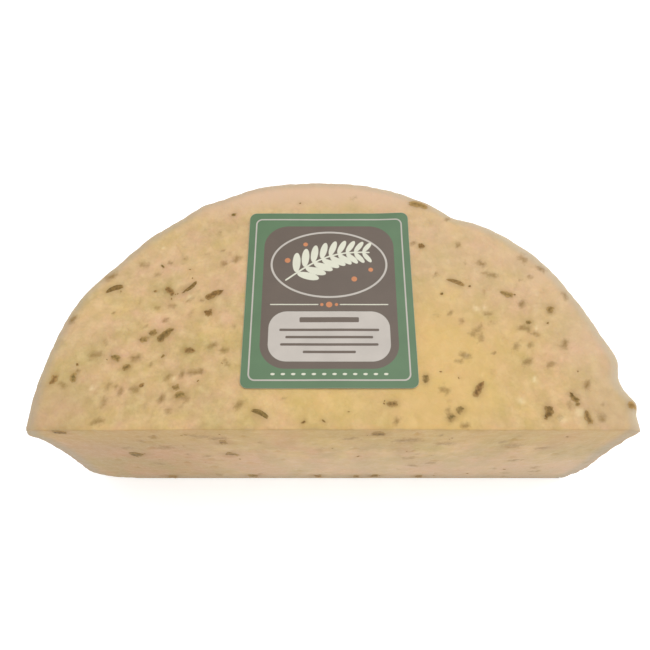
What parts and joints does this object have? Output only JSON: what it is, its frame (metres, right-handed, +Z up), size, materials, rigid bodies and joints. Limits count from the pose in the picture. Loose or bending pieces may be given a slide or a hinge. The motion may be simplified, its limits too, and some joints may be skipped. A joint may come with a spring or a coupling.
{
  "type": "cheddar cheese",
  "caption": "Half wheel of herb cheddar, cut upright through the middle and lying flat, with chopped herbs in the paste and a paper label on its top face.",
  "frame": {"origin": "middle of the footprint, on the base", "axes": "+Z up, +X to the right along the cut face, +Y from the cut face towards the curved rim at the back"},
  "size_m": [0.234, 0.1165, 0.0894],
  "materials": {
    "cheese": "slightly waxy cheese paste, pale butter yellow, speckled with dark green-brown herbs",
    "label_paper": "satin printed paper, green with a dark brown field and pale shapes"
  },
  "bodies": {
    "root": {"cheese": "cheese", "label": "label_paper"}
  },
  "joints": []
}
